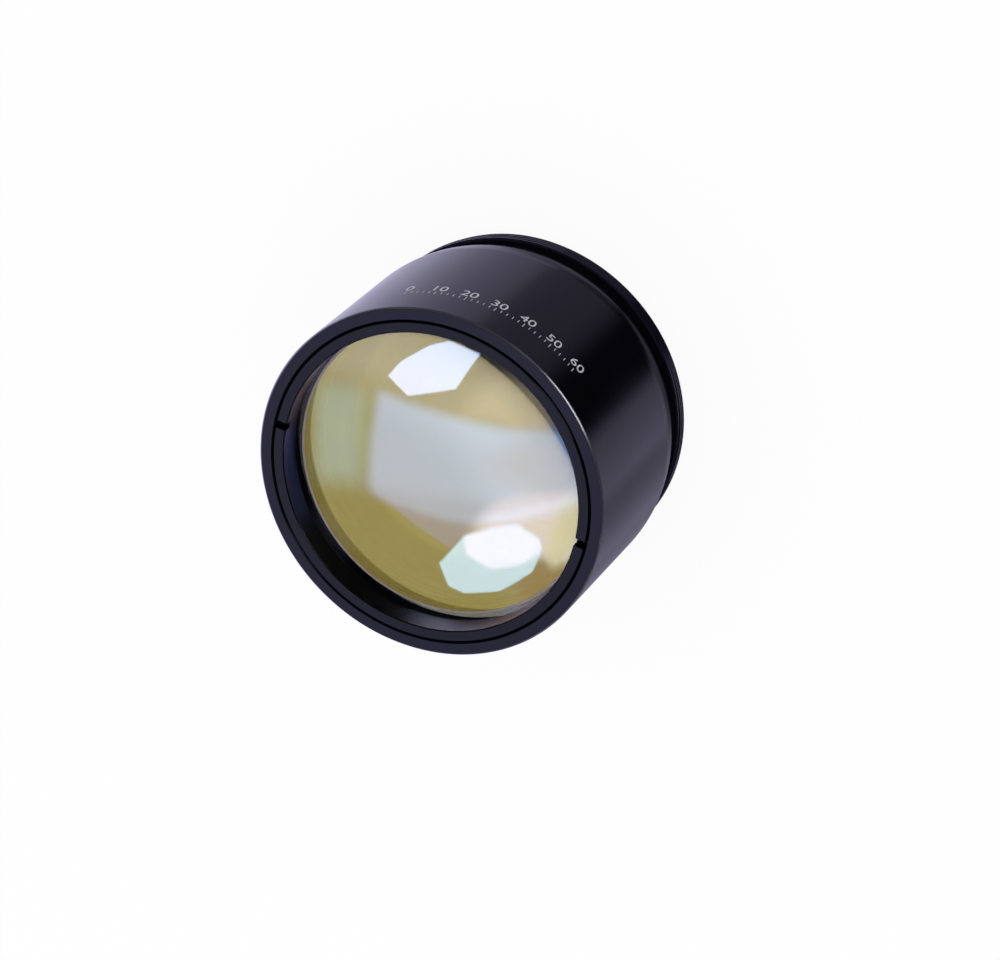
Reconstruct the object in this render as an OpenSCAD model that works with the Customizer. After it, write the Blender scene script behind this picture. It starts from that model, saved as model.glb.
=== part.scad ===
// F theta scan lens: a black turned barrel with a threaded rear end, four glass
// elements, their spacers and seals, and a spanner ring at each end.
// Z runs along the optical axis. Z = 0 is the rear end face, the front glass looks up,
// and the spanner slots of both rings lie along X. All dimensions are millimetres.

/* [Barrel] */
// Diameter of the full-width land
barrel_d = 88; // [87.6:0.1:92]
// Length of the full-width land, from the front face
land_len = 41; // [40.6:0.2:60]
// Length of the convex waist behind the land
waist_len = 9.6; // [8.6:0.2:12]
// Diameter at the rear end of the waist
waist_d = 83.2; // [82.6:0.1:84]
// Chamfer on the outer front rim
rim_chamfer = 0.4; // [0.2:0.1:0.8]

/* [Mounting thread] */
// Outer diameter of the mounting thread
mount_d = 85; // [84.5:0.1:85.5]
// Length of the mounting thread, chamfers included
mount_len = 5.4; // [4.6:0.1:8]
// Width of the relief groove between thread and waist
relief_w = 2.3; // [1.5:0.1:3]
// Diameter at the bottom of the relief groove
relief_d = 82; // [81:0.1:82.4]
// Chamfer at the rear end of the thread
mount_chamfer = 0.8; // [0.4:0.1:1]

/* [Front ring] */
// Clear bore of the front ring
front_bore_d = 75.4; // [74.4:0.1:75.6]
// Height of the front ring
front_ring_h = 6.6; // [6.4:0.1:8]
// Diameter of the thread that the front ring screws into
front_thread_d = 81; // [80.8:0.1:81.4]
// Width of the spanner slots
slot_w = 2; // [1.6:0.1:2.6]
// Depth of the spanner slots in the front ring
slot_depth = 2.2; // [1.5:0.1:2.6]

/* [Rear ring] */
// Clear bore of the rear ring
rear_bore_d = 43; // [42.6:0.1:43.4]
// Height of the rear ring
rear_ring_h = 3.5; // [3.3:0.1:4]
// Diameter of the thread that the rear ring screws into
rear_thread_d = 53; // [52.6:0.1:54]
// Depth of the spanner slots in the rear ring
rear_slot_depth = 1.5; // [1:0.1:1.6]

/* [Glass] */
// Diameter of the front lens
front_lens_d = 79; // [78.8:0.1:79.2]
// Edge thickness of the front lens
front_lens_edge = 5.2; // [4.6:0.1:6]
// Radius of curvature of its convex front surface
front_lens_r1 = 140; // [138:1:180]
// Radius of curvature of its convex rear surface
front_lens_r2 = 400; // [350:10:900]
// Diameter of the second lens
second_lens_d = 72; // [71.8:0.1:72.2]
// Centre thickness of the second lens
second_lens_t = 8; // [7.6:0.1:8.4]
// Diameter of the third lens
third_lens_d = 62; // [61.8:0.1:62.2]
// Centre thickness of the third lens
third_lens_t = 6.5; // [6.2:0.1:6.8]
// Diameter of the rear lens
rear_lens_d = 50; // [49.8:0.1:50.2]
// Centre thickness of the rear lens
rear_lens_t = 3.6; // [3.2:0.1:4]
// Air gap on the axis between the front and the second lens
front_gap = 2; // [1.8:0.1:2.4]
// Air gap on the axis between the second and the third lens
middle_gap = 2.8; // [2.6:0.1:3]

/* [Spacers and seals] */
// Section diameter of both O-rings
o_ring_d = 1.6; // [1.4:0.1:1.6]
// Thickness of the shim that sets the middle air gap
shim_t = 0.3; // [0.2:0.1:0.4]
// Number of anti-glare grooves in the front spacer
groove_count = 5; // [3:1:6]

/* [Hidden] */

// Smoothness of turned surfaces, and of the long arcs of the glass
$fn = 144;
arc_fn = 720;

anodised = "#1d1b22";
blackened = "#141318";
glass_tint = "#a89e5c";
seal_black = "#0e0e10";
shim_brass = "#b08d4a";

// Clearance of the glass and rings in their bores, on the radius
bore_gap = 0.05;
// Protective bevel left flat round the convex glass
bevel_w = 0.3;
// Flat seat round each bevelled or concave face
seat_w = 1.5;
wide_seat_w = 3;
edge_break = 0.25;

// Depth of a spherical surface of radius R at distance r from the axis
function sag(R, r) = R - sqrt(R * R - r * r);

overall_len = mount_len + relief_w + waist_len + land_len;
barrel_r = barrel_d / 2;
waist_drop = (barrel_d - waist_d) / 2;
waist_z = mount_len + relief_w;
land_z = waist_z + waist_len;
waist_arc_r = (waist_len * waist_len + waist_drop * waist_drop) / (2 * waist_drop);

// Front lens: the ring's inner corner bears on its convex face
front_bore_r = front_bore_d / 2;
front_ring_z = overall_len - front_ring_h;
front_vertex_z = front_ring_z + sag(front_lens_r1, front_bore_r);
front_lens_r = front_lens_d / 2;
front_face_r = front_lens_r - bevel_w;
front_rim_top = front_vertex_z - sag(front_lens_r1, front_face_r);
front_rim_bottom = front_rim_top - front_lens_edge;
front_back_z = front_rim_bottom - sag(front_lens_r2, front_face_r);

// Front O-ring: rests on the convex face, in a rebate behind the ring's nose
nose_w = 0.6;
front_o_r = front_bore_r + nose_w + o_ring_d / 2 + bore_gap;
front_o_z = front_vertex_z - front_lens_r1
    + sqrt(pow(front_lens_r1 + o_ring_d / 2, 2) - front_o_r * front_o_r);

// Second lens
second_lens_r = second_lens_d / 2;
second_r1 = 105;
second_r2 = 190;
second_face_r = second_lens_r - seat_w;
second_back_r = second_lens_r - wide_seat_w;
second_vertex_z = front_back_z - front_gap;
second_rim_top = second_vertex_z - sag(second_r1, second_face_r);
second_back_z = second_vertex_z - second_lens_t;
second_rim_bottom = second_back_z - sag(second_r2, second_back_r);

// Third lens
third_lens_r = third_lens_d / 2;
third_r1 = 80;
third_r2 = 120;
third_face_r = third_lens_r - seat_w;
third_back_r = third_lens_r - seat_w - 2;
third_vertex_z = second_back_z - middle_gap;
third_rim_top = third_vertex_z - sag(third_r1, third_face_r);
third_back_z = third_vertex_z - third_lens_t;
third_rim_bottom = third_back_z - sag(third_r2, third_back_r);

// Rear lens: concave on both faces, seated against the web from below
rear_lens_r = rear_lens_d / 2;
rear_r1 = 110;
rear_r2 = 60;
rear_face_r = rear_lens_r - wide_seat_w;
rear_back_r = rear_lens_r - wide_seat_w - 1;
web_t = 3.2;
rear_rim_top = third_rim_bottom - web_t;
rear_vertex_z = rear_rim_top - sag(rear_r1, rear_face_r);
rear_back_z = rear_vertex_z - rear_lens_t;
rear_rim_bottom = rear_back_z - sag(rear_r2, rear_back_r);

// Rear ring and its O-ring
rear_bore_r = rear_bore_d / 2;
rear_ring_z = rear_rim_bottom - rear_ring_h;
rear_nose_w = 1.1;
rear_o_r = rear_bore_r + rear_nose_w + o_ring_d / 2 + bore_gap;
rear_groove_w = o_ring_d + 2 * bore_gap;

// Bores of the barrel
thread_runout = 1.3;
lens_bore_r = front_lens_r + bore_gap;
second_bore_r = second_lens_r + bore_gap;
third_bore_r = third_lens_r + bore_gap;
rear_lens_bore_r = rear_lens_r + bore_gap;
step_gap = 0.2;
recess_top_z = rear_ring_z - 0.6;
recess_top_r = rear_thread_d / 2 + 1.4;
recess_mouth_r = 35;

// Front spacer: sharp top corner under the front lens, seat on the second lens
spacer_top_r = front_bore_r - 0.2;
spacer_top_z = front_back_z + sag(front_lens_r2, spacer_top_r);
spacer_foot_r = second_face_r + 0.1;
groove_depth = 0.8;

module revolve() {
    rotate_extrude() children();
}

// Ring section between two radii and two heights
module band(r_in, r_out, z_low, z_high) {
    translate([r_in, z_low]) square([r_out - r_in, z_high - z_low]);
}

// Half section of a cap that rises from height 0 to its crown on the axis
module cap_section(R, face_r) {
    intersection() {
        translate([0, sag(R, face_r) - R]) circle(r = R, $fn = arc_fn);
        square([face_r, sag(R, face_r) + 1]);
    }
}

// Convex waist: an arc that leaves the land without a corner
module waist_section() {
    core_r = barrel_r - waist_arc_r;
    band(0, core_r, waist_z, land_z);
    intersection() {
        translate([core_r, land_z]) circle(r = waist_arc_r, $fn = arc_fn);
        band(core_r, barrel_r, waist_z, land_z);
    }
}

module mount_section() {
    mount_r = mount_d / 2;
    lead = (mount_d - relief_d) / 4;
    polygon([
        [0, 0], [mount_r - mount_chamfer, 0], [mount_r, mount_chamfer],
        [mount_r, mount_len - lead], [mount_r - lead, mount_len], [0, mount_len],
    ]);
}

module land_section() {
    polygon([
        [0, land_z], [barrel_r, land_z], [barrel_r, overall_len - rim_chamfer],
        [barrel_r - rim_chamfer, overall_len], [0, overall_len],
    ]);
}

module barrel_outside() {
    mount_section();
    band(0, relief_d / 2, mount_len, waist_z);
    waist_section();
    land_section();
}

// Everything that is bored out of the barrel, from the front face down
module barrel_inside() {
    thread_r = front_thread_d / 2;
    mouth = 0.5;
    top = overall_len + 1;
    polygon([
        [0, top], [thread_r + mouth + 1, top], [thread_r, overall_len - mouth],
        [thread_r, overall_len - mouth - 1], [0, overall_len - mouth - 1],
    ]);
    band(0, thread_r, front_rim_top - thread_runout, overall_len - mouth);
    band(0, lens_bore_r, second_rim_top - step_gap, front_rim_top);
    band(0, second_bore_r, third_rim_top - step_gap, second_rim_top);
    band(0, third_bore_r, third_rim_bottom, third_rim_top);
    polygon([
        [0, third_rim_bottom], [third_back_r, third_rim_bottom],
        [rear_face_r, rear_rim_top], [0, rear_rim_top],
    ]);
    band(0, rear_lens_bore_r, rear_rim_bottom, rear_rim_top);
    band(0, rear_thread_d / 2, recess_top_z, rear_rim_bottom + step_gap);
    polygon([
        [0, -1], [recess_mouth_r + 1, -1], [recess_mouth_r, 0],
        [recess_top_r, recess_top_z], [0, recess_top_z],
    ]);
}

// Pair of spanner slots, cut right across a ring and down from height 0
module spanner_slots(depth) {
    translate([-barrel_r, -slot_w / 2, -depth]) cube([barrel_d, slot_w, depth + 1]);
}

module barrel() {
    color(anodised) revolve() difference() {
        barrel_outside();
        barrel_inside();
    }
}

module front_ring() {
    outer_r = front_thread_d / 2 - bore_gap;
    body_z = front_o_z + o_ring_d / 2;
    color(anodised) difference() {
        revolve() polygon([
            [front_bore_r, front_ring_z], [front_bore_r + nose_w, front_ring_z],
            [front_bore_r + nose_w, body_z], [outer_r, body_z],
            [outer_r, overall_len - edge_break], [outer_r - edge_break, overall_len],
            [front_bore_r + edge_break, overall_len], [front_bore_r, overall_len - edge_break],
        ]);
        translate([0, 0, overall_len]) spanner_slots(slot_depth);
    }
}

module o_ring(ring_r, ring_z) {
    color(seal_black) translate([0, 0, ring_z]) revolve()
        translate([ring_r, 0]) circle(d = o_ring_d, $fn = 36);
}

module front_o_ring() {
    o_ring(front_o_r, front_o_z);
}

module front_lens() {
    color(glass_tint) revolve() {
        band(0, front_lens_r, front_rim_bottom, front_rim_top);
        translate([0, front_rim_top]) cap_section(front_lens_r1, front_face_r);
        translate([0, front_rim_bottom]) mirror([0, 1]) cap_section(front_lens_r2, front_face_r);
    }
}

// Meniscus: crowned towards the front, hollow towards the rear
module meniscus(lens_r, rim_top, rim_bottom, r1, face_r, r2, back_r) {
    color(glass_tint) revolve() difference() {
        union() {
            band(0, lens_r, rim_bottom, rim_top);
            translate([0, rim_top]) cap_section(r1, face_r);
        }
        translate([0, rim_bottom]) cap_section(r2, back_r);
    }
}

module second_lens() {
    meniscus(second_lens_r, second_rim_top, second_rim_bottom,
        second_r1, second_face_r, second_r2, second_back_r);
}

module third_lens() {
    meniscus(third_lens_r, third_rim_top, third_rim_bottom,
        third_r1, third_face_r, third_r2, third_back_r);
}

module rear_lens() {
    color(glass_tint) revolve() difference() {
        band(0, rear_lens_r, rear_rim_bottom, rear_rim_top);
        translate([0, rear_rim_top]) mirror([0, 1]) cap_section(rear_r1, rear_face_r);
        translate([0, rear_rim_bottom]) cap_section(rear_r2, rear_back_r);
    }
}

module front_spacer() {
    height = spacer_top_z - second_rim_top;
    pitch = height / (groove_count + 1);
    color(blackened) revolve() difference() {
        polygon([
            [spacer_foot_r, second_rim_top], [front_lens_r, second_rim_top],
            [front_lens_r, spacer_top_z], [spacer_top_r, spacer_top_z],
        ]);
        for (i = [1 : groove_count]) {
            z = second_rim_top + i * pitch;
            wall_r = spacer_foot_r + (spacer_top_r - spacer_foot_r) * (i * pitch) / height;
            polygon([
                [wall_r - 1, z - pitch / 4], [wall_r + groove_depth, z],
                [wall_r - 1, z + pitch / 4],
            ]);
        }
    }
}

module airspace_shim() {
    color(shim_brass) revolve()
        band(second_back_r + 0.2, second_lens_r, second_rim_bottom - shim_t, second_rim_bottom);
}

module middle_spacer() {
    top_z = second_rim_bottom - shim_t;
    color(blackened) revolve() polygon([
        [third_face_r + 0.1, third_rim_top], [second_lens_r, third_rim_top],
        [second_lens_r, top_z], [second_back_r + 0.2, top_z],
    ]);
}

module rear_o_ring() {
    o_ring(rear_o_r, rear_rim_bottom - o_ring_d / 2);
}

module rear_ring() {
    outer_r = rear_thread_d / 2 - bore_gap;
    groove_r = rear_bore_r + rear_nose_w;
    color(anodised) difference() {
        revolve() difference() {
            polygon([
                [rear_bore_r + edge_break, rear_ring_z], [outer_r - edge_break, rear_ring_z],
                [outer_r, rear_ring_z + edge_break], [outer_r, rear_rim_bottom],
                [rear_bore_r, rear_rim_bottom], [rear_bore_r, rear_ring_z + edge_break],
            ]);
            band(groove_r, groove_r + rear_groove_w, rear_rim_bottom - o_ring_d,
                rear_rim_bottom + 1);
        }
        translate([0, 0, rear_ring_z]) mirror([0, 0, 1]) spanner_slots(rear_slot_depth);
    }
}

barrel();
front_ring();
front_o_ring();
front_lens();
front_spacer();
second_lens();
airspace_shim();
middle_spacer();
third_lens();
rear_lens();
rear_o_ring();
rear_ring();
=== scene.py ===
"""Looks of an f theta scan lens: a black turned barrel with a threaded rear end, four
coated glass elements, their spacers and seals, and a spanner ring at each end."""

import logging
import math
from dataclasses import dataclass, field
from enum import IntEnum
from typing import Any, Optional, Sequence, Union

import bmesh
import bpy
from bpy.types import Material, Mesh, Node, NodeSocket, NodeTree, Object
from mathutils import Matrix, Vector


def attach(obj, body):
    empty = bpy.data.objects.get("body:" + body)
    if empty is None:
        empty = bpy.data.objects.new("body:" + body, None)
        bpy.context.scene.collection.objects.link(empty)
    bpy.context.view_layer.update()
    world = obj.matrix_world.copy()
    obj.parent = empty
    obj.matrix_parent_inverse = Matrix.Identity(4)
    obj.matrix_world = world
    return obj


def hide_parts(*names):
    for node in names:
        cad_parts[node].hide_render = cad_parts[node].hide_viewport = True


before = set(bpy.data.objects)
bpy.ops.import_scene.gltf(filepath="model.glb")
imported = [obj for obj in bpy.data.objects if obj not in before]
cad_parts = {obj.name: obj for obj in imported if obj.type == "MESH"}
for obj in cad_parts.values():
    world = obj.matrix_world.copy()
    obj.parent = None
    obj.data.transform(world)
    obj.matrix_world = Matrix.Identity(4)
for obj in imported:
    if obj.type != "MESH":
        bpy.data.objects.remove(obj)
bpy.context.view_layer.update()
LOG = logging.getLogger("scan_lens")

MM = 0.001
BODY = "root"
Colour = tuple[float, float, float]
Point2 = tuple[float, float]
Number = Union[int, float]
Operand = Union["Value", int, float]


class Zone(IntEnum):
    """The differently finished parts of a lens, in the order of its mesh's materials."""

    FRONT = 0
    BACK = 1
    EDGE = 2
    BARE = 3
    LINE = 4


# ---- shader trees


class Value:
    """A number in a shader tree, so that shader maths reads as arithmetic."""

    def __init__(self, tree: "Tree", socket: NodeSocket) -> None:
        """Wraps an output socket of a tree."""
        self.tree = tree
        self.socket = socket

    def math(self, operation: str, *others: Operand, swap: bool = False) -> "Value":
        """Adds one Math node.

        Args:
            operation: the Math node's operation.
            others: the other operands.
            swap: put this value after the first of the others.

        Returns:
            The result.
        """
        operands: list[Any] = [self, *others]
        if swap:
            operands[0], operands[1] = operands[1], operands[0]
        node = self.tree.node("ShaderNodeMath", {"operation": operation},
                              dict(enumerate(operands)))
        return Value(self.tree, node.outputs[0])

    def __add__(self, other: Operand) -> "Value":
        """This plus other."""
        return self.math("ADD", other)

    __radd__ = __add__

    def __sub__(self, other: Operand) -> "Value":
        """This minus other."""
        return self.math("SUBTRACT", other)

    def __rsub__(self, other: Number) -> "Value":
        """Other minus this."""
        return self.math("SUBTRACT", other, swap=True)

    def __mul__(self, other: Operand) -> "Value":
        """This times other."""
        return self.math("MULTIPLY", other)

    __rmul__ = __mul__

    def __truediv__(self, other: Operand) -> "Value":
        """This over other."""
        return self.math("DIVIDE", other)

    def __rtruediv__(self, other: Number) -> "Value":
        """Other over this."""
        return self.math("DIVIDE", other, swap=True)

    def __pow__(self, other: Operand) -> "Value":
        """This to the power of other."""
        return self.math("POWER", other)

    def smooth(self, low: Number, high: Number) -> "Value":
        """0 below low, 1 above high, and a smooth step between them."""
        node = self.tree.node("ShaderNodeMapRange", {"interpolation_type": "SMOOTHSTEP"},
                              {"Value": self, "From Min": low, "From Max": high})
        return Value(self.tree, node.outputs["Result"])


class Tree:
    """A node tree under construction."""

    def __init__(self, tree: NodeTree) -> None:
        """Empties the tree that is to be filled."""
        self.tree = tree
        tree.nodes.clear()

    def node(self, kind: str, settings: Optional[dict[str, Any]] = None,
             inputs: Optional[dict[Union[str, int], Any]] = None) -> Node:
        """Adds a node.

        Args:
            kind: the node's type name.
            settings: its properties, set first.
            inputs: values or links of its sockets, by name or number.

        Returns:
            The node.
        """
        made = self.tree.nodes.new(kind)
        for name, setting in (settings or {}).items():
            setattr(made, name, setting)
        for name, given in (inputs or {}).items():
            self.feed(made.inputs[name], given)
        return made

    def feed(self, socket: NodeSocket, given: Any) -> None:
        """Links a socket, or sets its value.

        Args:
            socket: the input.
            given: a Value, an output socket, a number or a colour.
        """
        if isinstance(given, Value):
            self.tree.links.new(given.socket, socket)
        elif isinstance(given, NodeSocket):
            self.tree.links.new(given, socket)
        elif isinstance(given, tuple) and len(given) == 3 and socket.type == "RGBA":
            socket.default_value = (*given, 1.0)
        else:
            socket.default_value = given

    def value(self, kind: str, output: Union[str, int], settings: Optional[dict[str, Any]] = None,
              inputs: Optional[dict[Union[str, int], Any]] = None) -> Value:
        """Adds a node, as node() does, and wraps one of its outputs."""
        return Value(self, self.node(kind, settings, inputs).outputs[output])

    def join(self, x: Any, y: Any, z: Any) -> NodeSocket:
        """Joins three numbers into a vector."""
        return self.node("ShaderNodeCombineXYZ", None, {0: x, 1: y, 2: z}).outputs[0]


class Shader(Tree):
    """The node tree of a material or of the world."""

    def xyz(self, vector: NodeSocket) -> tuple[Value, Value, Value]:
        """Splits a vector into its three numbers."""
        outputs = self.node("ShaderNodeSeparateXYZ", None, {0: vector}).outputs
        return Value(self, outputs[0]), Value(self, outputs[1]), Value(self, outputs[2])

    def mix(self, factor: Operand, a: Any, b: Any) -> NodeSocket:
        """Mixes two colours or their sockets: a factor of 0 gives a, and 1 gives b."""
        return self.node("ShaderNodeMix", {"data_type": "RGBA"},
                         {0: factor, 6: a, 7: b}).outputs[2]

    def object_point(self) -> NodeSocket:
        """The point in the row's frame, in metres."""
        return self.node("ShaderNodeTexCoord").outputs["Object"]

    def noise(self, scale: Number, detail: Number, vector: Any = None) -> Value:
        """A noise of about 0.5, with scale features per metre and detail finer layers."""
        return self.value("ShaderNodeTexNoise", "Fac", None,
                          {"Vector": vector or self.object_point(), "Scale": scale,
                           "Detail": detail})

    def bump(self, height: Value, distance: Number) -> NodeSocket:
        """A normal from a height, whose 1 stands for a distance in metres."""
        return self.node("ShaderNodeBump", None,
                         {"Distance": distance, "Height": height}).outputs[0]

    def principled(self, inputs: dict[str, Any]) -> None:
        """Ends a material in a Principled shader with these inputs."""
        self.surface(self.node("ShaderNodeBsdfPrincipled", None, inputs))

    def surface(self, shader: Node, output: str = "ShaderNodeOutputMaterial") -> None:
        """Ends the tree in its output node."""
        self.node(output, None, {"Surface": shader.outputs[0]})


class Form(Tree):
    """A Geometry Nodes tree with named inputs, turned into a plain mesh when it is done."""

    def __init__(self, name: str, sizes: dict[str, Number]) -> None:
        """Starts the group with one input for each size, and one for the finish.

        Args:
            name: the group's name.
            sizes: the name and value of each input.
        """
        group = bpy.data.node_groups.new(name, "GeometryNodeTree")
        super().__init__(group)
        self.sizes = sizes
        face = group.interface
        face.new_socket("Geometry", in_out="OUTPUT", socket_type="NodeSocketGeometry")
        face.new_socket("Geometry", in_out="INPUT", socket_type="NodeSocketGeometry")
        for size, given in sizes.items():
            kind = "NodeSocketInt" if isinstance(given, int) else "NodeSocketFloat"
            face.new_socket(size, in_out="INPUT", socket_type=kind)
        face.new_socket("Finish", in_out="INPUT", socket_type="NodeSocketMaterial")
        self.entry = self.node("NodeGroupInput")

    def size(self, name: str) -> Value:
        """One of the named inputs."""
        return Value(self, self.entry.outputs[name])

    def build(self, name: str, geometry: NodeSocket, finish: Material) -> Object:
        """Ends the tree, runs it once and keeps the result as a plain mesh.

        Args:
            name: the piece's name.
            geometry: what the tree makes.
            finish: the piece's material.

        Returns:
            The piece.
        """
        real = self.node("GeometryNodeRealizeInstances", None, {0: geometry})
        dressed = self.node("GeometryNodeSetMaterial", None, {
            "Geometry": real.outputs[0], "Material": self.entry.outputs["Finish"]})
        self.node("NodeGroupOutput", None, {"Geometry": dressed.outputs[0]})
        carrier = bpy.data.objects.new(name + "_form", bpy.data.meshes.new(name + "_form"))
        bpy.context.scene.collection.objects.link(carrier)
        modifier = carrier.modifiers.new("form", "NODES")
        modifier.node_group = self.tree
        given = {**self.sizes, "Finish": finish}
        for item in self.tree.interface.items_tree:
            if item.item_type == "SOCKET" and item.in_out == "INPUT" and item.name in given:
                modifier[item.identifier] = given[item.name]
        return finished_mesh(name, baked(name, carrier))


def new_material(name: str) -> tuple[Material, Shader]:
    """Makes a material with an empty tree.

    Args:
        name: the finish's name.

    Returns:
        The material and its tree.
    """
    material = bpy.data.materials.new(name)
    material.use_nodes = True
    return material, Shader(material.node_tree)


# ---- finishes


def along(x: Value, y: Value, azimuth_deg: float) -> Value:
    """The part of a level vector that points to an azimuth."""
    turn = math.radians(azimuth_deg)
    return x * math.cos(turn) + y * math.sin(turn)


@dataclass(frozen=True)
class TurnedAnodising:
    """Black anodised aluminium with the fine rings that turning leaves.

    Inside bore_r the metal is barer, with a painted highlight that makes it brighter towards
    one azimuth. Above rim_z and outside rim_r handling has rubbed the film through.
    """

    name: str
    colour: Colour = (0.0006, 0.0005, 0.0010)
    worn: Colour = (0.0018, 0.0015, 0.0027)
    sheen: Colour = (0.72, 0.64, 1.0)
    roughness: float = 0.19
    ring_pitch: float = 0.00016
    ring_depth: float = 0.0000006
    face_feed: float = 0.83
    level: float = 0.08
    bore_r: float = 0.0
    # Painted highlight: towards one azimuth the bore takes this brighter colour instead of
    # dull_bore.
    bore: Colour = (0.25, 0.22, 0.17)
    dull_bore: Colour = (0.07, 0.065, 0.06)
    bore_deg: float = 128.0
    bore_fade: Point2 = (0.76, 0.94)
    rim_z: float = 1000.0
    rim_r: float = 43.56
    fade: float = 0.04
    rubbed: Colour = (0.20, 0.20, 0.21)

    def build(self) -> Material:
        """Makes the material.

        Returns:
            The material.
        """
        material, s = new_material(self.name)
        x, y, z = s.xyz(s.object_point())
        radius = (x * x + y * y) ** 0.5
        # The tool leaves its rings along the axis and across the faces alike.
        travel = (z + radius * self.face_feed) / self.ring_pitch
        rings = s.value("ShaderNodeTexNoise", "Fac", {"noise_dimensions": "1D"},
                        {"W": travel, "Scale": 1.0, "Detail": 3.0, "Roughness": 0.7})
        cloud = s.noise(55.0, 4.0)
        pores = s.noise(5200.0, 2.0)
        tone = (cloud * 0.5 + rings * 0.3 + pores * 0.2).smooth(0.30, 0.72)
        rough = self.roughness + (cloud - 0.5) * 0.07 + (rings - 0.5) * 0.06
        height = rings * 0.75 + pores * 0.25
        bright = 1.0 - radius.smooth(self.bore_r * MM, (self.bore_r + self.fade / 4) * MM)
        rubbed = (z.smooth(self.rim_z * MM, (self.rim_z + self.fade) * MM)
                  * radius.smooth(self.rim_r * MM, (self.rim_r + self.fade) * MM)
                  * cloud.smooth(0.15, 0.45))
        black = s.mix(tone, self.colour, self.worn)
        # Painted highlight: the bore is brighter towards one side.
        side = along(x, y, self.bore_deg) / (radius + 1e-6)
        bore = s.mix(side.smooth(*self.bore_fade), self.dull_bore, self.bore)
        s.principled({
            "Base Color": s.mix(rubbed, s.mix(bright, black, bore), self.rubbed),
            "Metallic": bright + rubbed,
            "Roughness": rough,
            "Specular IOR Level": self.level,
            "Specular Tint": self.sheen,
            "Normal": s.bump(height, self.ring_depth),
        })
        return material


@dataclass(frozen=True)
class MattBlackening:
    """Deep matt black of the grooved spacers inside the barrel."""

    name: str
    colour: Colour = (0.0025, 0.0025, 0.003)
    roughness: float = 0.62

    def build(self) -> Material:
        """Makes the material.

        Returns:
            The material.
        """
        material, s = new_material(self.name)
        grain = s.noise(3000.0, 3.0)
        cloud = s.noise(70.0, 3.0)
        dusty = tuple(2.2 * c + 0.002 for c in self.colour)
        s.principled({
            "Base Color": s.mix((cloud * grain).smooth(0.15, 0.45), self.colour, dusty),
            "Roughness": self.roughness + (grain - 0.5) * 0.2,
            "Specular IOR Level": 0.15,
            "Normal": s.bump(grain, 0.000004),
        })
        return material


@dataclass(frozen=True)
class SealRubber:
    """Black rubber of the O-rings, with a faint bloom."""

    name: str
    colour: Colour = (0.010, 0.010, 0.011)
    bloom: Colour = (0.026, 0.026, 0.028)

    def build(self) -> Material:
        """Makes the material.

        Returns:
            The material.
        """
        material, s = new_material(self.name)
        bloom = s.noise(160.0, 4.0)
        grain = s.noise(6000.0, 2.0)
        s.principled({
            "Base Color": s.mix(bloom.smooth(0.45, 0.75), self.colour, self.bloom),
            "Roughness": 0.42 + bloom * 0.22,
            "Normal": s.bump(grain, 0.000003),
        })
        return material


@dataclass(frozen=True)
class RolledBrass:
    """Thin rolled brass of the shim, a little tarnished."""

    name: str
    colour: Colour = (0.66, 0.46, 0.19)
    tarnish: Colour = (0.34, 0.22, 0.09)

    def build(self) -> Material:
        """Makes the material.

        Returns:
            The material.
        """
        material, s = new_material(self.name)
        x, y, z = s.xyz(s.object_point())
        # Rolling draws the grain out along one direction of the sheet.
        stretched = s.join(x * 60.0, y * 2400.0, z * 60.0)
        rolling = s.noise(1.0, 3.0, stretched)
        stain = s.noise(90.0, 4.0)
        s.principled({
            "Base Color": s.mix(stain.smooth(0.5, 0.8), self.colour, self.tarnish),
            "Metallic": 1.0,
            "Roughness": 0.26 + rolling * 0.2 + stain * 0.08,
            "Normal": s.bump(rolling, 0.000002),
        })
        return material


@dataclass(frozen=True)
class MarkFill:
    """Off-white of laser-engraved marks, a little grainy."""

    name: str
    colour: Colour = (0.52, 0.51, 0.56)
    thin: Colour = (0.30, 0.29, 0.34)

    def build(self) -> Material:
        """Makes the material.

        Returns:
            The material.
        """
        material, s = new_material(self.name)
        grain = s.noise(4200.0, 3.0)
        s.principled({
            "Base Color": s.mix(grain.smooth(0.42, 0.62), self.colour, self.thin),
            "Roughness": 0.6 + grain * 0.2,
            "Normal": s.bump(grain, 0.000004),
        })
        return material


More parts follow.
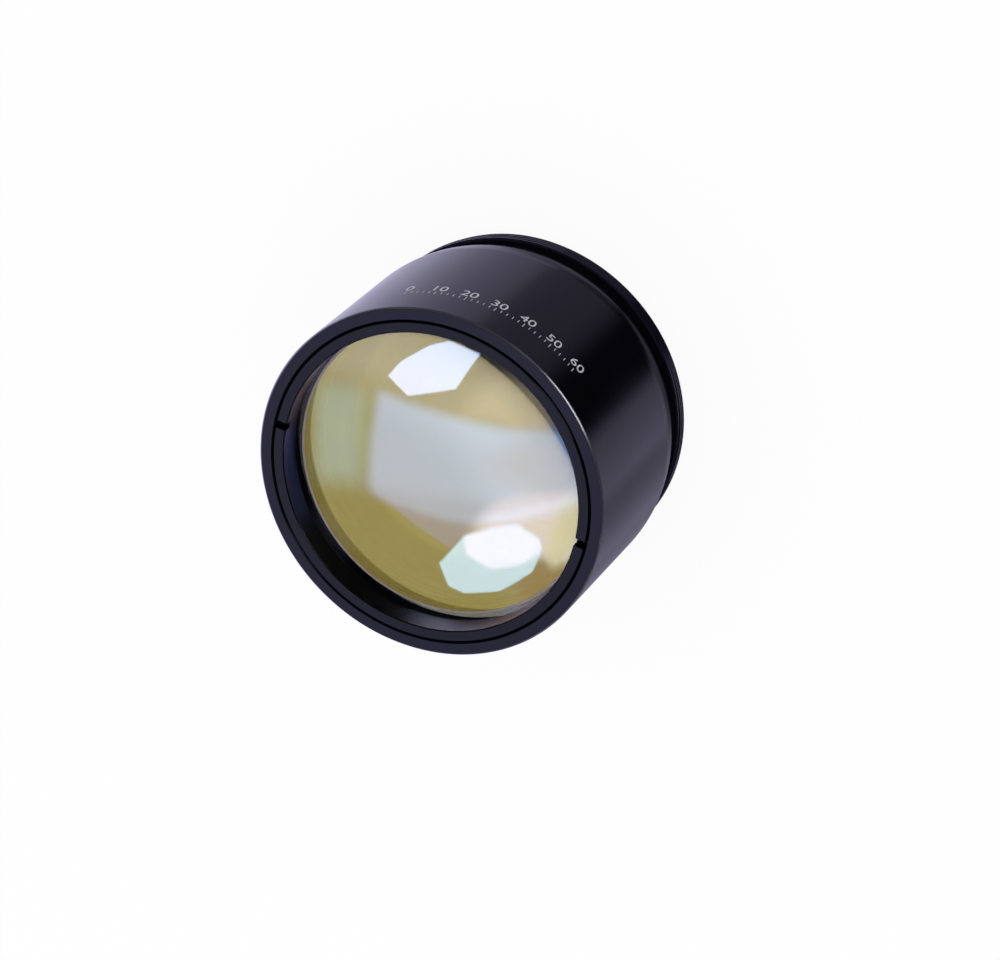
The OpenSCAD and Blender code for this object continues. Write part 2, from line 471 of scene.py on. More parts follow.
@dataclass(frozen=True)
class CoatedGlass:
    """Fused silica under a hard oxide film, whose thickness sets the colour it throws back.

    Outside a circle a little off centre the colour turns darker: painted shade along the edge on
    one side.
    With a side mirror set, the glass mirrors more towards one azimuth: a painted reflection on
    that side.
    """

    name: str
    film_nm: float
    film_index: float
    tint: Colour = (1.0, 1.0, 1.0)
    mirror: float = 0.0
    index: float = 1.45
    lip_r: float = 0.0
    lip_fade: float = 0.3
    lip_shift: Point2 = (0.0, 0.0)
    lip_tint: Colour = (1.0, 1.0, 1.0)
    spill: float = 0.0
    spill_deg: float = 0.0
    spill_fade: Point2 = (0.78, 0.95)

    def build(self) -> Material:
        """Makes the material.

        Returns:
            The material.
        """
        material, s = new_material(self.name)
        haze = s.noise(38.0, 3.0)
        dark = tuple(0.97 * c for c in self.tint)
        colour = s.mix(haze.smooth(0.3, 0.7), self.tint, dark)
        x, y, _ = s.xyz(s.object_point())
        # Painted shade: the colour turns darker beyond an off-centre circle near the edge.
        if self.lip_r:
            dx, dy = x - self.lip_shift[0] * MM, y - self.lip_shift[1] * MM
            shade = ((dx * dx + dy * dy) ** 0.5).smooth((self.lip_r - self.lip_fade) * MM,
                                                        (self.lip_r + self.lip_fade) * MM)
            colour = s.mix(shade, colour, self.lip_tint)
        mirror: Any = self.mirror
        # Painted reflection: the glass mirrors more towards one azimuth.
        if self.spill:
            side = along(x, y, self.spill_deg) / (x * x + y * y + 1e-8) ** 0.5
            mirror = side.smooth(*self.spill_fade) * self.spill
        s.principled({
            "Base Color": colour,
            "Metallic": mirror,
            "Roughness": 0.0,
            "IOR": self.index,
            "Transmission Weight": 1.0,
            "Thin Film Thickness": self.film_nm,
            "Thin Film IOR": self.film_index,
        })
        return material


@dataclass(frozen=True)
class GroundEdge:
    """Fine-ground glass: pale and matt where it is left so, or blackened against stray light."""

    name: str
    colour: Colour

    def build(self) -> Material:
        """Makes the material.

        Returns:
            The material.
        """
        material, s = new_material(self.name)
        grain = s.noise(3500.0, 3.0)
        darker = tuple(0.8 * c for c in self.colour)
        s.principled({
            "Base Color": s.mix(grain, self.colour, darker),
            "Roughness": 0.62 + grain * 0.15,
            "Normal": s.bump(grain, 0.000003),
        })
        return material


def dress(node: str, material: Material) -> None:
    """Gives a CAD node its finish.

    Args:
        node: the node's name.
        material: the finish.
    """
    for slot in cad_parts[node].material_slots:
        slot.material = material
    LOG.info("%s wears %s", node, material.name)


# ---- mesh


def baked(name: str, carrier: Object) -> Mesh:
    """Turns an object's modifiers or text into a plain mesh, and removes the object.

    Args:
        name: the mesh's name.
        carrier: the object.

    Returns:
        The mesh.
    """
    graph = bpy.context.evaluated_depsgraph_get()
    mesh = bpy.data.meshes.new_from_object(carrier.evaluated_get(graph))
    for modifier in carrier.modifiers[:]:
        carrier.modifiers.remove(modifier)
    bpy.data.objects.remove(carrier)
    mesh.name = name
    return mesh


def revolve(name: str, profile: Sequence[Point2], steps: int = 288,
            sharp_deg: float = 18.0) -> Object:
    """Turns a closed section round the axis.

    Args:
        name: the piece's name.
        profile: radius and height of each corner in mm, with the solid on the left.
        steps: how many sides a full turn has.
        sharp_deg: an edge that bends more than this stays sharp.

    Returns:
        The piece, with its place in its mesh.
    """
    mesh = bpy.data.meshes.new(name)
    points: list[tuple[float, float, float]] = []
    for i in range(steps):
        angle = math.tau * i / steps
        points += [(r * math.cos(angle) * MM, r * math.sin(angle) * MM, h * MM)
                   for r, h in profile]
    size = len(profile)
    faces = []
    for i in range(steps):
        here, after = i * size, (i + 1) % steps * size
        for j in range(size):
            k = (j + 1) % size
            if profile[j][0] < 1e-6 and profile[k][0] < 1e-6:
                continue
            faces.append((here + j, after + j, after + k, here + k))
    mesh.from_pydata(points, [], faces)
    return finished_mesh(name, mesh, sharp_deg)


def finished_mesh(name: str, mesh: Mesh, sharp_deg: float = 30.0) -> Object:
    """Merges doubles, turns the faces outwards and shades smooth.

    Args:
        name: the piece's name.
        mesh: its mesh, in metres.
        sharp_deg: an edge that bends more than this stays sharp.

    Returns:
        The piece.
    """
    work = bmesh.new()
    work.from_mesh(mesh)
    bmesh.ops.remove_doubles(work, verts=work.verts, dist=1e-7)
    bmesh.ops.dissolve_degenerate(work, edges=work.edges, dist=1e-8)
    bmesh.ops.recalc_face_normals(work, faces=work.faces)
    for face in work.faces:
        face.smooth = True
    for edge in work.edges:
        if len(edge.link_faces) == 2:
            edge.smooth = edge.calc_face_angle(0.0) < math.radians(sharp_deg)
    work.to_mesh(mesh)
    work.free()
    piece = bpy.data.objects.new(name, mesh)
    bpy.context.scene.collection.objects.link(piece)
    return piece


def arc(centre: Point2, radius: float, start_deg: float, end_deg: float, count: int,
        ) -> list[Point2]:
    """Points along an arc, ends included.

    Args:
        centre: its centre in mm.
        radius: its radius in mm.
        start_deg: where it starts.
        end_deg: where it ends.
        count: how many points.

    Returns:
        The points.
    """
    turns = [math.radians(start_deg + (end_deg - start_deg) * i / (count - 1))
             for i in range(count)]
    return [(centre[0] + radius * math.cos(t), centre[1] + radius * math.sin(t)) for t in turns]


def stepped(top: float, bores: Sequence[Point2]) -> list[Point2]:
    """Corners of bores that follow each other down, each a radius and the height of its end."""
    starts = [top, *(end for _, end in bores)]
    return [(radius, z) for (radius, end), start in zip(bores, starts) for z in (start, end)]


def sag(radius: float, distance: float) -> float:
    """Depth of a spherical surface at a distance from the axis."""
    return radius - math.sqrt(radius * radius - distance * distance)


# ---- barrel


@dataclass
class Barrel:
    """The turned barrel with its waist, relief groove and cut mounting thread."""

    length: float = 58.3
    land_r: float = 43.975
    land_len: float = 41.0
    waist_len: float = 9.6
    waist_r: float = 41.6
    rim_chamfer: float = 0.4
    mount_r: float = 42.5
    mount_len: float = 5.4
    mount_chamfer: float = 0.8
    relief_r: float = 41.0
    thread_pitch: float = 1.0
    thread_depth: float = 0.61
    thread_root: float = 0.1
    thread_start: float = 0.15
    thread_stop: float = 0.85
    flank_share: float = 0.46
    crest_share: float = 0.08
    thin_end: float = 0.03
    mouth: float = 0.5
    front_bores: tuple[Point2, ...] = ((40.5, 49.97), (39.55, 36.11), (36.05, 25.50),
                                       (31.05, 21.65))
    beam_cone: tuple[float, float] = (27.5, 22.0)
    rear_seat_z: float = 18.45
    rear_bores: tuple[Point2, ...] = ((25.05, 9.04), (26.5, 4.74))
    recess_r: float = 27.9
    recess_mouth_r: float = 35.0
    edge: float = 0.12
    pieces: list[Object] = field(default_factory=list)

    def outside(self) -> list[Point2]:
        """The outer section from the rear face up to the front rim.

        Returns:
            Radius and height of each corner, in mm.
        """
        core = self.mount_r - self.thread_depth
        waist_z = self.length - self.land_len - self.waist_len
        land_z = waist_z + self.waist_len
        drop = self.land_r - self.waist_r
        bend = (self.waist_len ** 2 + drop ** 2) / (2 * drop)
        turn = math.degrees(math.asin(self.waist_len / bend))
        lead = self.mount_r - self.relief_r
        e, top = self.edge, self.length
        waist = arc((self.land_r - bend, land_z), bend, -turn, 0.0, 33)
        return [(self.recess_mouth_r + e, 0.0),
                (self.mount_r - self.mount_chamfer - e, 0.0),
                (core, e + self.mount_chamfer - self.thread_depth),
                (core, self.mount_len - lead / 2 + 0.2), (self.relief_r, self.mount_len),
                (self.relief_r, waist_z), (self.waist_r - e, waist_z),
                (waist[0][0], waist_z + e), *waist[1:],
                (self.land_r, top - self.rim_chamfer - e / 2),
                (self.land_r - e / 3, top - self.rim_chamfer),
                (self.land_r - self.rim_chamfer, top - e / 3),
                (self.land_r - self.rim_chamfer - e / 2, top)]

    def inside(self) -> list[Point2]:
        """The bored section from the front mouth down to the rear recess.

        Returns:
            Radius and height of each corner, in mm.
        """
        front = stepped(self.length - self.mouth, self.front_bores)
        rear = stepped(self.rear_seat_z, self.rear_bores)
        wide, narrow = self.beam_cone
        return [(front[0][0] + self.mouth, self.length), *front, (wide, front[-1][1]),
                (narrow, self.rear_seat_z), *rear, (self.recess_r, rear[-1][1]),
                (self.recess_mouth_r, self.edge)]

    def build_body(self, finish: Material) -> Object:
        """Makes the barrel with the thread's core, which stands for the CAD barrel.

        Args:
            finish: its material.

        Returns:
            The piece.
        """
        body = revolve("barrel_body", self.outside() + self.inside())
        body.data.materials.append(finish)
        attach(body, BODY)
        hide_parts("barrel")
        return body

    def build_thread(self, finish: Material) -> Object:
        """Cuts the mounting thread: one ridge that winds round the core.

        Args:
            finish: its material.

        Returns:
            The piece.
        """
        start = self.mount_chamfer + self.thread_start
        end = self.mount_len - self.thread_stop
        form = Form("mounting_thread", {
            "Core Radius": (self.mount_r - self.thread_depth - self.thread_root) * MM,
            "Ridge Height": (self.thread_depth + self.thread_root) * MM,
            "Pitch": self.thread_pitch * MM,
            "Turns": (end - start) / self.thread_pitch,
            "Start Height": start * MM,
            "Run Out": 0.06,
            "Steps Per Turn": 180,
        })
        core, pitch, turns = form.size("Core Radius"), form.size("Pitch"), form.size("Turns")
        spiral = form.node("GeometryNodeCurveSpiral", None, {
            "Resolution": form.size("Steps Per Turn"), "Rotations": turns, "Start Radius": core,
            "End Radius": core, "Height": pitch * turns})
        lifted = form.node("GeometryNodeSetPosition", None, {
            "Geometry": spiral.outputs[0],
            "Offset": form.join(0.0, 0.0, form.size("Start Height"))})
        level = form.node("GeometryNodeSetCurveNormal", {"mode": "Z_UP"},
                          {"Curve": lifted.outputs[0]})
        way = form.value("GeometryNodeSplineParameter", "Factor")
        run = form.size("Run Out")
        taper = (way / run).math("MINIMUM", (1.0 - way) / run).math("MINIMUM", 1.0)
        high = form.size("Ridge Height")
        flank, crest = pitch * self.flank_share, pitch * self.crest_share
        section = form.node("GeometryNodeCurvePrimitiveQuadrilateral", {"mode": "POINTS"}, {
            "Point 1": form.join(0.0, flank, 0.0), "Point 2": form.join(0.0, 0.0 - flank, 0.0),
            "Point 3": form.join(0.0 - high, 0.0 - crest, 0.0),
            "Point 4": form.join(0.0 - high, crest, 0.0)})
        ridge = form.node("GeometryNodeCurveToMesh", None, {
            "Curve": level.outputs[0], "Profile Curve": section.outputs[0],
            "Scale": taper * (1.0 - self.thin_end) + self.thin_end, "Fill Caps": True})
        thread = form.build("mounting_thread", ridge.outputs[0], finish)
        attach(thread, BODY)
        return thread

    def build(self, finish: Material, cut: Material,
              marks: Material) -> None:
        """Makes every piece of the barrel.

        Args:
            finish: the barrel's material.
            cut: the thread's material.
            marks: the fill of the index marks.
        """
        self.pieces += [self.build_body(finish), self.build_thread(cut)]
        self.pieces += IndexScale(self.land_r).build(marks)
        for piece in self.pieces:
            LOG.info("%s: %d faces", piece.name, len(piece.data.polygons))


@dataclass
class IndexScale:
    """Plain degree marks round the barrel, for turning the lens to a known angle."""

    surface_r: float
    proud: float = 0.010
    sunk: float = 0.06
    zero_deg: float = -64.0
    span: int = 60
    step: int = 2
    tick_w: float = 0.17
    tick_len: float = 1.15
    tick_z: float = 47.1
    digit_h: float = 3.0
    baseline_z: float = 46.4
    ten_longer: float = 0.45
    cap_height: float = 0.7
    slice_w: float = 0.45
    slices: int = 8

    def build_ticks(self, finish: Material) -> Object:
        """Sets a short line at every step of the scale, and a longer one at each ten.

        Args:
            finish: its material.

        Returns:
            The piece.
        """
        form = Form("index_ticks", {
            "Surface Radius": (self.surface_r + self.proud - self.sunk / 2) * MM,
            "Zero": math.radians(self.zero_deg),
            "Span": math.radians(self.span),
            "Count": self.span // self.step + 1,
            "Line Width": self.tick_w * MM,
            "Line Length": self.tick_len * MM,
            "Line Depth": self.sunk * MM,
            "Height": self.tick_z * MM,
            "Long Every": 10 // self.step,
        })
        count, radius = form.size("Count"), form.size("Surface Radius")
        row = form.node("GeometryNodeMeshLine", None, {"Count": count})
        index = form.value("GeometryNodeInputIndex", 0)
        turn = form.size("Zero") - form.size("Span") * (index / (count - 1.0))
        place = form.join(radius * turn.math("COSINE"), radius * turn.math("SINE"),
                         form.size("Height"))
        round_row = form.node("GeometryNodeSetPosition", None,
                              {"Geometry": row.outputs[0], "Position": place})
        line = form.node("GeometryNodeCurvePrimitiveLine", None,
                         {"End": form.join(0.0, 0.0, form.size("Line Length"))})
        section = form.node("GeometryNodeCurvePrimitiveQuadrilateral", None, {
            "Width": form.size("Line Width"), "Height": form.size("Line Depth")})
        bar = form.node("GeometryNodeCurveToMesh", None, {
            "Curve": line.outputs[0], "Profile Curve": section.outputs[0], "Fill Caps": True})
        over = index.math("MODULO", form.size("Long Every"))
        longer = 1.0 + (1.0 - over.math("MINIMUM", 1.0)) * self.ten_longer
        facing = form.node("FunctionNodeEulerToRotation", None,
                           {0: form.join(0.0, 0.0, turn + math.pi / 2)})
        ticks = form.node("GeometryNodeInstanceOnPoints", None, {
            "Points": round_row.outputs[0], "Instance": bar.outputs[0],
            "Rotation": facing.outputs[0], "Scale": form.join(1.0, 1.0, longer)})
        return form.build("index_ticks", ticks.outputs[0], finish)

    def build_number(self, value: int, finish: Material) -> Object:
        """Writes one number and bends it onto the barrel.

        Args:
            value: the number.
            finish: its material.

        Returns:
            The piece.
        """
        name = f"index_number_{value:02d}"
        text = bpy.data.curves.new(name, "FONT")
        text.body = str(value)
        text.align_x = "CENTER"
        text.size = self.digit_h / self.cap_height * MM
        text.extrude = self.sunk / 2 * MM
        text.resolution_u = 5
        carrier = bpy.data.objects.new(name + "_text", text)
        bpy.context.scene.collection.objects.link(carrier)
        mesh = baked(name, carrier)
        work = bmesh.new()
        work.from_mesh(mesh)
        # Cuts across the digits let them follow the curve.
        for i in range(-self.slices, self.slices + 1):
            bmesh.ops.bisect_plane(work, geom=work.verts[:] + work.edges[:] + work.faces[:],
                                   plane_co=(i * self.slice_w * MM, 0, 0), plane_no=(1, 0, 0))
        middle = math.radians(self.zero_deg - value)
        outer = (self.surface_r + self.proud - self.sunk / 2) * MM
        for vert in work.verts:
            x, y, z = vert.co
            angle, radius = middle - x / (self.surface_r * MM), outer + z
            vert.co = (radius * math.cos(angle), radius * math.sin(angle),
                       self.baseline_z * MM - y)
        work.to_mesh(mesh)
        work.free()
        mesh.materials.clear()
        mesh.materials.append(finish)
        return finished_mesh(name, mesh)

    def build(self, finish: Material) -> list[Object]:
        """Makes the ticks and the numbers.

        Args:
            finish: their material.

        Returns:
            The pieces.
        """
        pieces = [self.build_ticks(finish)]
        pieces += [self.build_number(v, finish) for v in range(0, self.span + 1, 10)]
        for piece in pieces:
            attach(piece, BODY)
        return pieces


# ---- glass


@dataclass(frozen=True)
class Element:
    """One lens. A positive radius bulges out of the glass, a negative one is hollow."""

    node: str
    slot: str
    radius: float
    rim_top: float
    rim_bottom: float
    front_r: float
    front_reach: float
    back_r: float
    back_reach: float
    rings: int = 40
    steps: int = 192
    coat_reach: float = 0.0
    coat_line: float = 0.6
    bevel: float = 0.12

    def surface(self, curve: float, reach: float, rim: float, up: float) -> list[Point2]:
        """Points from the axis out to the end of a polished face.

        Args:
            curve: its radius of curvature.
            reach: how far it goes from the axis.
            rim: the height of its end.
            up: 1 for the front face, -1 for the back face.

        Returns:
            Radius and height of each point, in mm.
        """
        depth = math.copysign(sag(abs(curve), reach), curve)
        points = []
        stations = {reach * i / self.rings for i in range(self.rings + 1)}
        if self.coat_reach and up < 0:
            stations |= {self.coat_reach, self.coat_reach + self.coat_line}
        for r in sorted(stations):
            here = math.copysign(sag(abs(curve), r), curve)
            points.append((r, rim + up * (depth - here)))
        return points

    def zone(self, radius: float, rise: float) -> Zone:
        """Which zone a face of the mesh is in.

        Args:
            radius: the greatest distance of its corners from the axis, in mm.
            rise: the upward part of its normal.

        Returns:
            The zone.
        """
        slack = 0.01
        reach = self.front_reach if rise > 0 else self.back_reach
        if abs(rise) < 0.5 or radius > reach + slack:
            return Zone.EDGE
        if rise > 0:
            return Zone.FRONT
        if not self.coat_reach or radius <= self.coat_reach + slack:
            return Zone.BACK
        return Zone.LINE if radius <= self.coat_reach + self.coat_line + slack else Zone.BARE

    def build(self, finishes: dict[Zone, Material]) -> Object:
        """Makes the lens, which stands for its CAD node.

        Args:
            finishes: the material of each zone. The back face is bare glass beyond its coat,
                with a thin ground line where the coat ends.

        Returns:
            The piece.
        """
        top = self.surface(self.front_r, self.front_reach, self.rim_top, 1.0)
        low = self.surface(self.back_r, self.back_reach, self.rim_bottom, -1.0)
        b = self.bevel
        rim = [(self.radius, self.rim_top - b), (self.radius, self.rim_bottom + b)]
        if self.front_reach < self.radius - b:
            rim.insert(0, (self.radius - b, self.rim_top))
        if self.back_reach < self.radius - b:
            rim.append((self.radius - b, self.rim_bottom))
        piece = revolve(self.node + "_glass", low + rim[::-1] + top[::-1], self.steps, 12.0)
        for zone in Zone:
            piece.data.materials.append(finishes[zone])
        for face in piece.data.polygons:
            far = max(math.hypot(*piece.data.vertices[v].co.xy) for v in face.vertices) / MM
            face.material_index = self.zone(far, face.normal.z)
        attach(piece, BODY)
        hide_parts(self.node)
        LOG.info("%s: %d faces", piece.name, len(piece.data.polygons))
        return piece


@dataclass
class GlassStack:
    """The four lenses, from the big front one down to the hollow rear one."""

    front: Element = Element("front_lens", "coated_glass", 39.5, 51.272, 46.072,
                             140.0, 39.2, 400.0, 39.2, 128, 256, 36.25)
    second: Element = Element("second_lens", "inner_glass", 36.0, 36.316, 31.258,
                              105.0, 34.5, -190.0, 33.0)
    third: Element = Element("third_lens", "inner_glass", 31.0, 25.708, 21.653,
                             80.0, 29.5, -120.0, 27.5)
    rear: Element = Element("rear_lens", "rear_glass", 25.0, 18.453, 8.835,
                            -110.0, 22.0, -60.0, 21.0)
    # Painted shade: the inner glass is tinted almost black, so that nothing inside the lens
    # shows.
    smoke: Colour = (0.09, 0.10, 0.085)
    olive: Colour = (0.82, 0.69, 0.195)
    # Painted shade: the darker olive along the lens edge on one side.
    olive_lip: Colour = (0.44, 0.35, 0.07)
    margin: Colour = (0.52, 0.54, 0.5)

    def build(self) -> None:
        """Makes and dresses the four lenses."""
        finishes = {
            Zone.EDGE: GroundEdge("blackened_edge_finish", (0.012, 0.012, 0.014)).build(),
            Zone.LINE: GroundEdge("ground_line_finish", (0.92, 0.76, 0.52)).build(),
            Zone.FRONT: CoatedGlass("blue_film_glass", 205.0, 1.6).build(),
            Zone.BACK: CoatedGlass(
                "olive_film_glass", 0.0, 1.33, self.olive, mirror=0.4, lip_r=38.2,
                lip_shift=(-2.9, -4.0), lip_tint=self.olive_lip).build(),
            # Painted reflection: the bare margin mirrors more towards one side.
            Zone.BARE: CoatedGlass("bare_glass", 0.0, 1.33, self.margin, 0.4, spill=0.3,
                                   spill_deg=118.0).build()}
        inner = CoatedGlass("inner_film_glass", 95.0, 1.7, self.smoke, 0.2).build()
        self.front.build(finishes)
        for lens in (self.second, self.third, self.rear):
            lens.build({**finishes, Zone.FRONT: inner, Zone.BACK: inner})


# ---- studio


@dataclass(frozen=True)
class View:
    """Where the camera stands, in the row's frame."""

    azimuth_deg: float = -28.56
    elevation_deg: float = 57.19
    roll_deg: float = 133.87
    distance: float = 0.9350
    aim: tuple[float, float, float] = (-0.0081, 0.0079, 0.0300)
    lens_mm: float = 139.86

    def build(self) -> None:
        """Makes the camera and sets it as the scene's."""
        a, e, roll = (math.radians(x) for x in
                      (self.azimuth_deg, self.elevation_deg, self.roll_deg))
        back = Vector((math.sin(a) * math.cos(e), -math.cos(a) * math.cos(e), math.sin(e)))
        level_up = (Vector((0, 0, 1)) - back * back.z).normalized()
        level_right = level_up.cross(back)
        up = level_up * math.cos(roll) + level_right * math.sin(roll)
        right = up.cross(back)
        data = bpy.data.cameras.new("camera")
        data.sensor_width = 36.0
        data.lens = self.lens_mm
        data.clip_start, data.clip_end = 0.01, 50.0
        camera = bpy.data.objects.new("camera", data)
        bpy.context.scene.collection.objects.link(camera)
        place = Matrix((right, up, back)).transposed().to_4x4()
        place.translation = Vector(self.aim) + back * self.distance
        camera.matrix_world = place
        bpy.context.scene.camera = camera


def toward(azimuth_deg: float, elevation_deg: float) -> Vector:
    """The direction at an azimuth from X and a height above the floor, in degrees."""
    a, e = math.radians(azimuth_deg), math.radians(elevation_deg)
    return Vector((math.cos(e) * math.cos(a), math.cos(e) * math.sin(a), math.sin(e)))


@dataclass(frozen=True)
class Softbox:
    """A lit panel far off, with straight edges, facing the part."""

    azimuth_deg: float
    elevation_deg: float
    corners: tuple[Point2, ...]
    edge_deg: float
    glow: Colour

    def directions(self) -> list[Vector]:
        """The direction of each corner.

        Returns:
            The directions, anticlockwise as the corners are.
        """
        centre = toward(self.azimuth_deg, self.elevation_deg)
        across = toward(self.azimuth_deg + 90.0, 0.0)
        up = centre.cross(across)
        return [(centre + across * math.radians(x) + up * math.radians(y)).normalized()
                for x, y in self.corners]

    def mask(self, s: Shader, ray: NodeSocket) -> Value:
        """1 in the panel and 0 outside it.

        Args:
            s: the world's tree.
            ray: the direction that is looked in.

        Returns:
            The mask.
        """
        corners = self.directions()
        middle = sum(corners, Vector()) / len(corners)
        width = math.radians(self.edge_deg)
        whole: Optional[Value] = None
        for here, after in zip(corners, corners[1:] + corners[:1]):
            square = here.cross(after).normalized()
            if square.dot(middle) < 0:
                square.negate()
            inside = s.value("ShaderNodeVectorMath", "Value", {"operation": "DOT_PRODUCT"},
                             {0: ray, 1: tuple(square)}).smooth(-width, width)
            whole = inside if whole is None else whole * inside
        return whole


@dataclass(frozen=True)
class Wall:
    """A lit stretch of the room's walls, between two azimuths."""

    start_deg: float
    end_deg: float
    edge_deg: float
    glow: float

    def mask(self, x: Value, y: Value) -> Value:
        """1 in the stretch and 0 outside it.

        Args:
            x: the level direction's part along X.
            y: its part along Y.

        Returns:
            The mask.
        """
        half = (self.end_deg - self.start_deg) / 2
        near = along(x, y, (self.start_deg + self.end_deg) / 2)
        return near.smooth(math.cos(math.radians(half + self.edge_deg / 2)),
                           math.cos(math.radians(max(half - self.edge_deg / 2, 0.0))))


@dataclass
class Studio:
    """Camera, floor and a world with lit panels."""

    white: Colour = (1.0, 1.0, 1.0)
    tint: Colour = (1.25, 1.2, 1.65)
    ceiling: Colour = (0.97, 0.94, 0.84)
    eaves: Colour = (1.35, 1.4, 2.5)
    eaves_z: Point2 = (0.69, 0.86)
    ceiling_level: float = 0.12
    dark_level: float = 0.004
    horizon: Point2 = (-0.03, 0.12)
    foot: Point2 = (-0.95, -0.885)
    foot_level: float = 0.22
    floor_half: float = 4.0
    floor_glow: float = 0.92
    walls: tuple[Wall, ...] = (
        Wall(-64.5, 64.0, 4.0, 0.80), Wall(-62.0, 12.0, 22.0, 0.34),
        Wall(-119.0, -60.0, 24.0, 0.50), Wall(152.0, 190.5, 12.0, 0.92),
        Wall(104.0, 154.0, 12.0, 0.46), Wall(70.0, 104.0, 12.0, 0.27))
    outer_panels: tuple[Softbox, ...] = (
        # Warm blush over the far end.
        Softbox(60.0, 57.0, ((-6.0, 14.5), (12.0, 30.0), (4.0, 40.0), (-8.0, 28.0)),
                3.0, (4.8, 2.2, 1.1)),
        # Dim lilac skirt below it.
        Softbox(60.0, 57.0, ((-6.0, -13.6), (-0.8, -12.4), (4.8, -11.4), (10.8, -9.8),
                (11.2, 2.0), (-4.0, 2.0)), 1.0, (0.95, 0.85, 2.1)),
        # The main panel.
        Softbox(60.0, 57.0, ((-6.0, -13.6), (11.0, 0.2), (24.0, 20.8), (22.0, 38.6),
                (-18.8, 2.4)), 1.9, (4.9, 5.3, 6.2)),
        # Cooler lower edge.
        Softbox(60.0, 57.0, ((-6.0, -14.5), (11.5, -0.5), (21.0, 14.0), (15.0, 13.0), (7.0, 3.5),
                (-9.0, -9.5)), 2.5, (3.6, 3.9, 5.1)),
        # Softer far end.
        Softbox(60.0, 57.0, ((4.0, 12.0), (22.0, 14.0), (26.0, 24.0), (22.0, 40.0), (8.0, 29.0)),
                4.0, (3.7, 3.4, 4.4)),
        # Octagonal lamp.
        Softbox(22.0, 64.0, ((0.1, -6.7), (3.5, -2.6), (1.6, 8.2), (-5.6, 14.2), (-7.8, 7.5),
                (-6.6, 3.1), (-2.8, -3.8)), 0.25, (15.8, 11.3, 10.4)),
        # Strip that lights the rim.
        Softbox(-138.5, 30.5, ((-14.0, -4.0), (14.0, -4.0), (14.0, 4.0), (-14.0, 4.0)),
                1.0, (5.5, 5.5, 5.7)))
    inner_panels: tuple[Softbox, ...] = (
        # Soft patch on the near side.
        Softbox(102.0, 64.0, ((4.4, -12.0), (4.4, 9.6), (-6.2, 7.8), (-6.2, -12.6)),
                3.4, (1.2, 1.5, 3.0)),
        # Brown shade behind the lamp.
        Softbox(20.0, 46.0, ((-8.0, -9.0), (8.0, -9.0), (8.0, 7.0), (-8.0, 7.0)),
                3.0, (1.0, 0.85, 0.9)),
        # Cream band.
        Softbox(36.0, 42.0, ((1.5, 18.5), (5.4, 10.2), (4.6, 0.5), (1.4, -20.0), (-9.0, -20.0),
                (-9.6, -1.7), (-5.5, 9.0)), 2.2, (2.3, 2.35, 5.9)),
        # Straw-coloured foot of the band.
        Softbox(36.0, 42.0, ((2.0, -9.0), (1.0, -22.0), (-9.5, -22.0), (-10.0, 2.0), (-5.0, 1.5)),
                2.0, (2.15, 2.3, 4.2)),
        # Rose edge of the band.
        Softbox(36.0, 42.0, ((2.2, 16.5), (5.4, 10.2), (4.6, 0.5), (1.4, -20.0), (0.6, -14.0),
                (2.3, -1.0)), 1.7, (1.8, 1.55, 2.1)),
        # The lamp's second image.
        Softbox(26.0, 57.0, ((5.6, 5.3), (7.0, -7.0), (3.4, -12.4), (1.0, -12.1), (-2.8, -8.4),
                (-6.0, 0.5), (-6.0, 8.4), (-4.3, 11.5), (0.6, 12.1)), 0.3, (1.9, 2.8, 8.5)),
        # Its bright core.
        Softbox(26.0, 57.0, ((5.6, 5.3), (6.6, 1.0), (7.0, -7.0), (3.4, -12.4), (1.4, -12.4),
                (-0.9, -7.0), (-1.3, 1.6), (2.2, 6.0)), 0.8, (2.95, 3.5, 11.5)))

    def seen_by_gloss(self, s: Shader, ray: NodeSocket) -> NodeSocket:
        """The room that polished and satin surfaces throw back.

        Args:
            s: the world's tree.
            ray: the direction that is looked in.

        Returns:
            Its colour.
        """
        x, y, z = s.xyz(ray)
        level = (x * x + y * y + 1e-6) ** 0.5
        hx, hy = x / level, y / level
        lit = sum((wall.mask(hx, hy) * wall.glow for wall in self.walls), 0.0)
        # The walls fade towards their foot.
        low = (self.dark_level + lit) * (self.foot_level
                                       + (1.0 - self.foot_level) * z.smooth(*self.foot))
        up = z.smooth(*self.horizon)
        grey = low * (1.0 - up) + up * self.ceiling_level
        room = s.mix(grey, (0.0, 0.0, 0.0), self.tint)
        for panel in self.outer_panels:
            room = s.mix(panel.mask(s, ray), room, panel.glow)
        return room

    def seen_through_glass(self, s: Shader, ray: NodeSocket) -> NodeSocket:
        """The room that the inner glass faces throw back.

        Args:
            s: the world's tree.
            ray: the direction that is looked in.

        Returns:
            Its colour.
        """
        z = s.xyz(ray)[2]
        room = s.mix(1.0 - z.smooth(*self.eaves_z), self.ceiling, self.eaves)
        for panel in self.inner_panels:
            room = s.mix(panel.mask(s, ray), room, panel.glow)
        return room

    def build_world(self) -> None:
        """A white backdrop to the camera, and a soft room with panels to everything else."""
        world = bpy.data.worlds.new("studio")
        bpy.context.scene.world = world
        world.use_nodes = True
        world.cycles.sampling_method = "NONE"
        s = Shader(world.node_tree)
        ray = s.node("ShaderNodeTexCoord").outputs["Generated"]
        path = s.node("ShaderNodeLightPath").outputs
        gloss, through = Value(s, path["Is Glossy Ray"]), Value(s, path["Is Transmission Ray"])
        colour = s.mix(gloss, self.white, self.seen_by_gloss(s, ray))
        colour = s.mix(through, colour, self.seen_through_glass(s, ray))
        colour = s.mix(Value(s, path["Is Camera Ray"]), colour, self.white)
        s.surface(s.node("ShaderNodeBackground", None, {"Color": colour}),
                  "ShaderNodeOutputWorld")

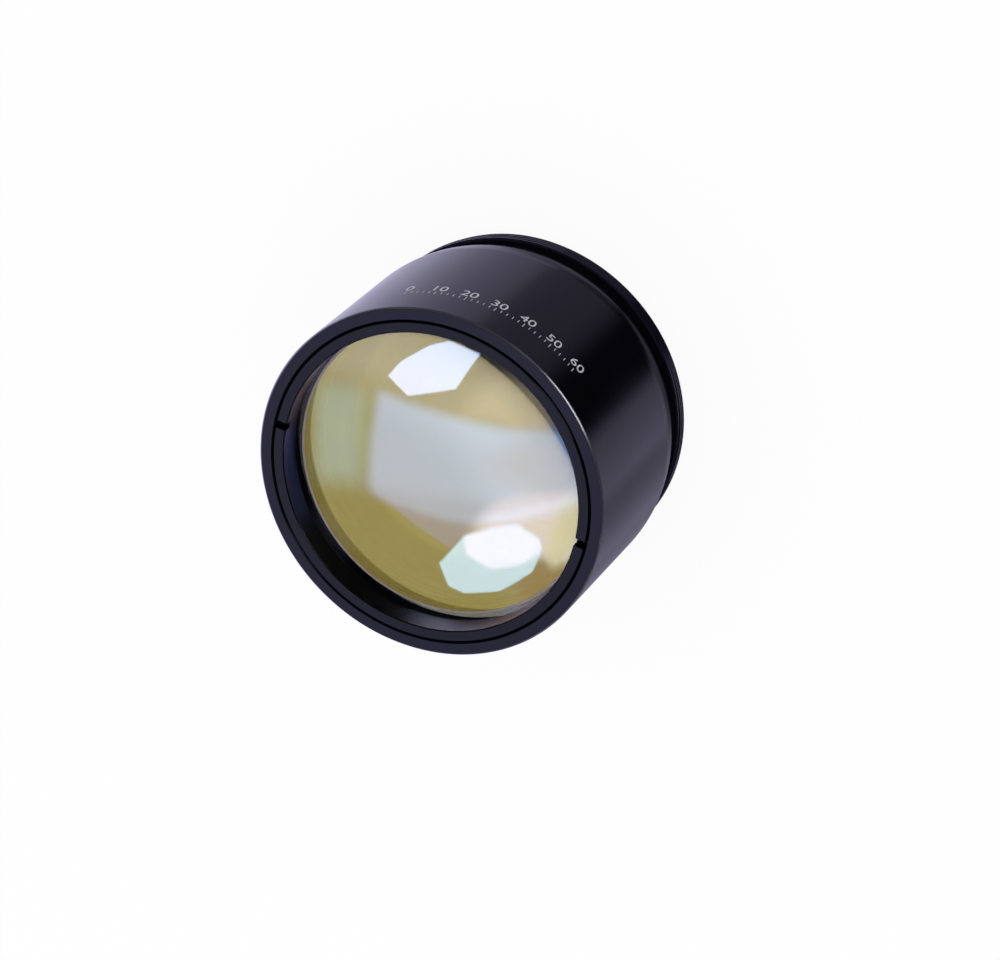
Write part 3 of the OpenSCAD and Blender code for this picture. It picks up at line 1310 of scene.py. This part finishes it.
    def build_floor(self) -> None:
        """A plain pale floor under the rear face."""
        mesh = bpy.data.meshes.new("floor")
        half = self.floor_half
        mesh.from_pydata([(-half, -half, 0), (half, -half, 0), (half, half, 0), (-half, half, 0)],
                         [], [(0, 1, 2, 3)])
        floor = bpy.data.objects.new("floor", mesh)
        bpy.context.scene.collection.objects.link(floor)
        material, s = new_material("floor")
        path = s.node("ShaderNodeLightPath").outputs
        seen, glossy = Value(s, path["Is Camera Ray"]), Value(s, path["Is Glossy Ray"])
        grain = s.noise(9.0, 2.0)
        paper = s.node("ShaderNodeBsdfDiffuse", None,
                       {"Color": s.mix(grain, (0.93, 0.93, 0.93), (0.95, 0.95, 0.95))})
        glow = s.node("ShaderNodeEmission", None, {"Color": self.white})
        lit = s.node("ShaderNodeMixShader", None,
                     {0: seen * self.floor_glow, 1: paper.outputs[0], 2: glow.outputs[0]})
        clear = s.node("ShaderNodeBsdfTransparent")
        both = s.node("ShaderNodeMixShader", None,
                      {0: glossy, 1: lit.outputs[0], 2: clear.outputs[0]})
        s.surface(both)
        mesh.materials.append(material)

    def build(self) -> None:
        """Makes the camera, the world and the floor."""
        View().build()
        self.build_world()
        self.build_floor()
        bpy.context.scene.view_settings.view_transform = "Standard"


def main() -> None:
    """Builds every sub-assembly in order and reports each piece."""
    logging.basicConfig(level=logging.INFO, format="%(message)s")
    barrel_finish = TurnedAnodising("barrel_anodised_finish", rim_z=57.86).build()
    thread_finish = TurnedAnodising("thread_anodised_finish", level=0.5).build()
    ring_finish = TurnedAnodising("ring_anodised_finish").build()
    bored_finish = TurnedAnodising("bored_ring_finish", sheen=(0.72, 0.64, 0.94), level=0.07,
                                   bore_r=37.702).build()
    Studio().build()
    Barrel().build(barrel_finish, thread_finish, MarkFill("mark_fill_finish").build())
    dress("front_ring", bored_finish)
    dress("rear_ring", ring_finish)
    black = MattBlackening("spacer_black_finish").build()
    for node in ("front_spacer", "middle_spacer"):
        dress(node, black)
    rubber = SealRubber("seal_rubber_finish").build()
    for node in ("front_o_ring", "rear_o_ring"):
        dress(node, rubber)
    dress("airspace_shim", RolledBrass("shim_brass_finish").build())
    GlassStack().build()


if __name__ == "__main__":
    main()
